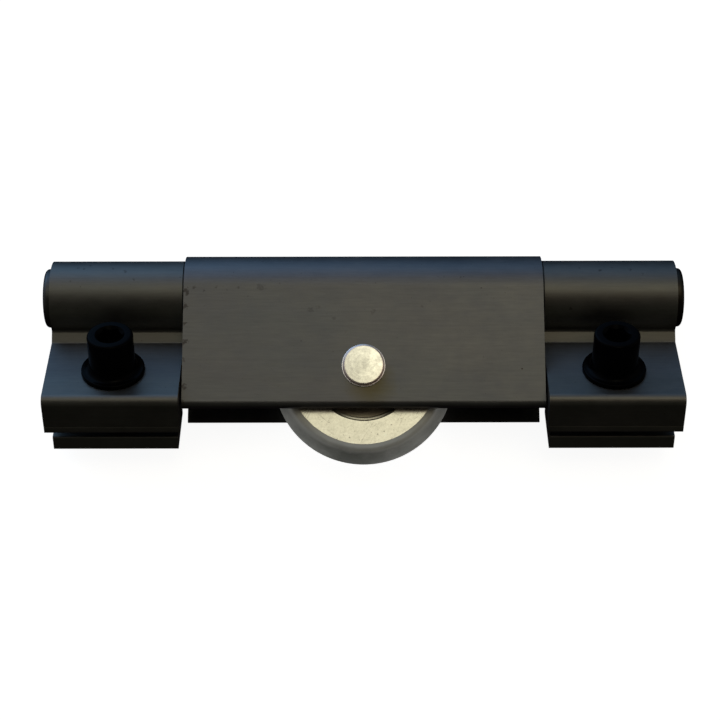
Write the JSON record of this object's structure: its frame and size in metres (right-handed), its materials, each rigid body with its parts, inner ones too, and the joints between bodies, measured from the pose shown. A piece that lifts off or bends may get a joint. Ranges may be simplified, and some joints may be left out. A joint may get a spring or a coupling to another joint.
{
  "type": "rail roller",
  "caption": "Rail roller: a ball-bearing wheel in an inverted-U aluminium housing, hinged between end brackets that clamp to a slotted profile.",
  "frame": {"origin": "middle of the object's box on the surface that it lies on, its housing's flat back down", "axes": "+X along the hinge to the right end, +Y from the wheel to the hinge, +Z out of the front face"},
  "size_m": [0.1394, 0.0462, 0.0275],
  "materials": {
    "anodised_aluminium": "satin dark grey-brown anodised, fine drawing lines along its length",
    "hinge_pin_steel": "satin, dark",
    "bush_plastic": "matte",
    "black_steel": "black oxide, slightly glossy",
    "bright_steel": "turned, bright",
    "tyre_polyurethane": "satin moulded grey",
    "bare_aluminium": "bright, faced, lightly scratched",
    "bearing_steel": "ground",
    "pressed_steel": "satin, brownish"
  },
  "bodies": {
    "housing": {"roller_housing": "anodised_aluminium", "hinge_pin_left": "hinge_pin_steel", "hinge_pin_right": "hinge_pin_steel", "axle_pin": "bright_steel", "axle_spacer_front": "bright_steel", "axle_spacer_rear": "bright_steel", "bearing_inner_ring": "bearing_steel"},
    "wheel": {"wheel_tyre": "tyre_polyurethane", "wheel_hub": "bare_aluminium", "bearing_outer_ring": "bearing_steel", "bearing_shield_front": "pressed_steel", "bearing_shield_rear": "pressed_steel"},
    "ball_set": {"bearing_balls": "bearing_steel", "bearing_cage": "pressed_steel"},
    "bracket_left": {"end_bracket_left": "anodised_aluminium", "hinge_bush_left": "bush_plastic"},
    "screw_left": {"clamp_screw_left": "black_steel"},
    "bar_left": {"clamp_bar_left": "anodised_aluminium"},
    "bracket_right": {"end_bracket_right": "anodised_aluminium", "hinge_bush_right": "bush_plastic"},
    "screw_right": {"clamp_screw_right": "black_steel"},
    "bar_right": {"clamp_bar_right": "anodised_aluminium"}
  },
  "joints": [
    {"name": "wheel_spin", "type": "hinge", "parent": "housing", "child": "wheel", "pos_m": [0, -0.00347, 0.0091], "axis": [0, 0, 1], "continuous": true},
    {"name": "ball_set_spin", "type": "hinge", "parent": "housing", "child": "ball_set", "pos_m": [0, -0.00347, 0.0091], "axis": [0, 0, 1], "continuous": true},
    {"name": "bracket_left_swing", "type": "hinge", "parent": "housing", "child": "bracket_left", "pos_m": [0, 0.01402, 0.0091], "axis": [1, 0, 0], "continuous": true},
    {"name": "screw_left_turn", "type": "hinge", "parent": "bracket_left", "child": "screw_left", "pos_m": [-0.0536, -0.00427, 0.01702], "axis": [0, 0.6289, 0.7775], "range_deg": [-1368, 360]},
    {"name": "bar_left_travel", "type": "slide", "parent": "bracket_left", "child": "bar_left", "axis": [0, 0.6289, 0.7775], "range_m": [-0.00101, 0.00381]},
    {"name": "bracket_right_swing", "type": "hinge", "parent": "housing", "child": "bracket_right", "pos_m": [0, 0.01402, 0.0091], "axis": [1, 0, 0], "continuous": true},
    {"name": "screw_right_turn", "type": "hinge", "parent": "bracket_right", "child": "screw_right", "pos_m": [0.0536, -0.00427, 0.01702], "axis": [0, 0.6289, 0.7775], "range_deg": [-1368, 360]},
    {"name": "bar_right_travel", "type": "slide", "parent": "bracket_right", "child": "bar_right", "axis": [0, 0.6289, 0.7775], "range_m": [-0.00101, 0.00381]}
  ],
  "couplings": [
    {"joint": "ball_set_spin", "follows": "wheel_spin", "ratio": 0.63233},
    {"joint": "bar_left_travel", "follows": "screw_left_turn", "m_per_rad": -0.00015915},
    {"joint": "bar_right_travel", "follows": "screw_right_turn", "m_per_rad": -0.00015915}
  ]
}
